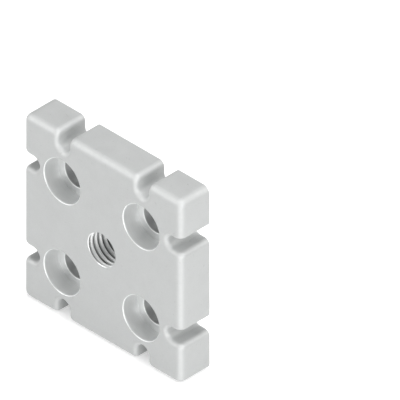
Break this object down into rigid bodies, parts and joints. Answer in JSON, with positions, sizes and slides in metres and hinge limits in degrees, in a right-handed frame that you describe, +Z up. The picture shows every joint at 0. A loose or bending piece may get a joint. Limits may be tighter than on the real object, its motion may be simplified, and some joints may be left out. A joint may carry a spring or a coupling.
{
  "type": "slotted end plate for aluminium framing profile",
  "caption": "Square cast aluminium end plate for framing profile: recessed screw holes, a central thread for a foot, and round-ended slots in its sides.",
  "frame": {"origin": "middle of the flat back, where the thread's axis leaves it", "axes": "the plate stands on its bottom edge: +Z up, +X to the right as seen from the front, the front face with the screw recesses towards -Y, the flat back towards +Y"},
  "size_m": [0.09, 0.0165, 0.09],
  "materials": {
    "cast_aluminium": "satin"
  },
  "bodies": {
    "root": {"plate": "cast_aluminium"}
  },
  "joints": []
}
